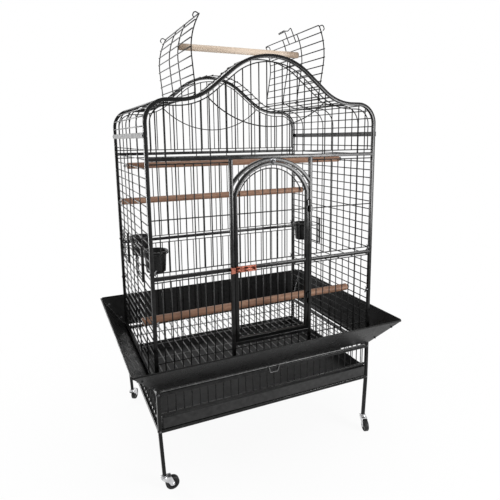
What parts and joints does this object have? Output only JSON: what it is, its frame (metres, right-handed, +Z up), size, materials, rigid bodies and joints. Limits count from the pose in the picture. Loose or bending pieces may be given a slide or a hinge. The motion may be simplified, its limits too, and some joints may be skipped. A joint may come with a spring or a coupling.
{
  "type": "parrot cage",
  "caption": "Dome-topped wire parrot cage on a castor base, with an arched door, roof hatch flaps, feeder doors, perches, seed skirt, floor grate and waste tray.",
  "frame": {"origin": "the middle of the cage's footprint, on the floor under the wheels", "axes": "+X to the right seen from the front, the front door faces -Y, +Z up"},
  "size_m": [1.0972, 0.8512, 1.7202],
  "materials": {
    "black_coat": "satin powder coat",
    "grey_coat": "glossy powder coat",
    "copper": "copper-red plated, satin",
    "dark_wood": "stained, matte",
    "pale_wood": "bare, matte",
    "pale_wire": "light grey powder coat",
    "black_plastic": "smooth moulded",
    "chrome": "bright plated",
    "rubber": "matte"
  },
  "bodies": {
    "cage": {"post_front_left": "black_coat", "post_front_right": "black_coat", "post_back_left": "black_coat", "post_back_right": "black_coat", "arch_front": "black_coat", "arch_back": "black_coat", "front_frame": "black_coat", "front_bars_left": "black_coat", "front_bars_right": "black_coat", "front_bars_sill": "black_coat", "gable_front": "black_coat", "back_panel": "black_coat", "side_panel_left": "black_coat", "side_panel_right": "black_coat", "cup_ring_left_front": "black_coat", "cup_ring_left_back": "black_coat", "cup_ring_right": "black_coat", "roof_shoulder_left": "black_coat", "roof_shoulder_right": "black_coat", "roof_strip_front": "black_coat", "roof_strip_back": "black_coat", "leg_front_left": "black_coat", "leg_front_right": "black_coat", "leg_back_left": "black_coat", "leg_back_right": "black_coat", "base_front": "black_coat", "base_back": "black_coat", "base_left": "black_coat", "base_right": "black_coat", "tray_runners": "black_coat", "skirt_front": "grey_coat", "skirt_right": "grey_coat", "skirt_back": "grey_coat", "skirt_left": "grey_coat", "bolt_keeper": "copper", "perch_upper": "dark_wood", "perch_back": "dark_wood", "perch_low": "dark_wood"},
    "front_door": {"door_frame": "black_coat", "door_bars": "black_coat"},
    "door_bolt": {"door_bolt": "copper"},
    "left_flap": {"flap_left": "black_coat", "perch_top": "pale_wood"},
    "right_flap": {"flap_right": "black_coat"},
    "tray": {"tray": "black_coat"},
    "floor_grate": {"floor_grate": "pale_wire"},
    "feeder_door_left_front": {"feeder_door_left_front": "black_coat"},
    "cup_left_front": {"cup_left_front": "black_plastic"},
    "feeder_door_left_back": {"feeder_door_left_back": "black_coat"},
    "cup_left_back": {"cup_left_back": "black_plastic"},
    "feeder_door_right": {"feeder_door_right": "black_coat"},
    "cup_right": {"cup_right": "black_plastic"},
    "caster_fork_front_left": {"caster_fork_front_left": "chrome"},
    "caster_wheel_front_left": {"caster_wheel_front_left": "rubber"},
    "caster_fork_front_right": {"caster_fork_front_right": "chrome"},
    "caster_wheel_front_right": {"caster_wheel_front_right": "rubber"},
    "caster_fork_back_left": {"caster_fork_back_left": "chrome"},
    "caster_wheel_back_left": {"caster_wheel_back_left": "rubber"},
    "caster_fork_back_right": {"caster_fork_back_right": "chrome"},
    "caster_wheel_back_right": {"caster_wheel_back_right": "rubber"}
  },
  "joints": [
    {"name": "front_door_hinge", "type": "hinge", "parent": "cage", "child": "front_door", "pos_m": [0.153, -0.3355, 0.64], "axis": [0, 0, 1], "range_deg": [0, 160]},
    {"name": "door_bolt_slide", "type": "slide", "parent": "front_door", "child": "door_bolt", "axis": [-1, 0, 0], "range_m": [0, 0.018]},
    {"name": "left_flap_hinge", "type": "hinge", "parent": "cage", "child": "left_flap", "pos_m": [-0.25, 0, 1.4027], "axis": [0, -1, 0], "range_deg": [0, 45]},
    {"name": "right_flap_hinge", "type": "hinge", "parent": "cage", "child": "right_flap", "pos_m": [0.25, 0, 1.4027], "axis": [0, 1, 0], "range_deg": [0, 45]},
    {"name": "tray_slide", "type": "slide", "parent": "cage", "child": "tray", "axis": [0, -1, 0], "range_m": [0, 0.5]},
    {"name": "grate_slide", "type": "slide", "parent": "cage", "child": "floor_grate", "axis": [0, -1, 0], "range_m": [0, 0.5]},
    {"name": "feeder_door_left_front_hinge", "type": "hinge", "parent": "cage", "child": "feeder_door_left_front", "pos_m": [-0.45236, -0.1825, 0.81], "axis": [0, 0, 1], "range_deg": [0, 110]},
    {"name": "cup_left_front_lift", "type": "slide", "parent": "cage", "child": "cup_left_front", "axis": [0, 0, 1], "range_m": [0, 0.05]},
    {"name": "feeder_door_left_back_hinge", "type": "hinge", "parent": "cage", "child": "feeder_door_left_back", "pos_m": [-0.45236, 0.1125, 0.81], "axis": [0, 0, 1], "range_deg": [0, 110]},
    {"name": "cup_left_back_lift", "type": "slide", "parent": "cage", "child": "cup_left_back", "axis": [0, 0, 1], "range_m": [0, 0.05]},
    {"name": "feeder_door_right_hinge", "type": "hinge", "parent": "cage", "child": "feeder_door_right", "pos_m": [0.45236, 0.0675, 0.81], "axis": [0, 0, -1], "range_deg": [0, 110]},
    {"name": "cup_right_lift", "type": "slide", "parent": "cage", "child": "cup_right", "axis": [0, 0, 1], "range_m": [0, 0.05]},
    {"name": "caster_front_left_swivel", "type": "hinge", "parent": "cage", "child": "caster_fork_front_left", "pos_m": [-0.439, -0.324, 0.0612], "axis": [0, 0, 1], "continuous": true},
    {"name": "caster_front_left_roll", "type": "hinge", "parent": "caster_fork_front_left", "child": "caster_wheel_front_left", "pos_m": [-0.411, -0.324, 0.025], "axis": [0, 1, 0], "continuous": true},
    {"name": "caster_front_right_swivel", "type": "hinge", "parent": "cage", "child": "caster_fork_front_right", "pos_m": [0.439, -0.324, 0.0612], "axis": [0, 0, 1], "continuous": true},
    {"name": "caster_front_right_roll", "type": "hinge", "parent": "caster_fork_front_right", "child": "caster_wheel_front_right", "pos_m": [0.43128, -0.35092, 0.025], "axis": [0.9613, -0.2756, 0], "continuous": true},
    {"name": "caster_back_left_swivel", "type": "hinge", "parent": "cage", "child": "caster_fork_back_left", "pos_m": [-0.439, 0.324, 0.0612], "axis": [0, 0, 1], "continuous": true},
    {"name": "caster_back_left_roll", "type": "hinge", "parent": "caster_fork_back_left", "child": "caster_wheel_back_left", "pos_m": [-0.425, 0.34825, 0.025], "axis": [-0.866, 0.5, 0], "continuous": true},
    {"name": "caster_back_right_swivel", "type": "hinge", "parent": "cage", "child": "caster_fork_back_right", "pos_m": [0.439, 0.324, 0.0612], "axis": [0, 0, 1], "continuous": true},
    {"name": "caster_back_right_roll", "type": "hinge", "parent": "caster_fork_back_right", "child": "caster_wheel_back_right", "pos_m": [0.44625, 0.35105, 0.025], "axis": [-0.9659, 0.2588, 0], "continuous": true}
  ]
}
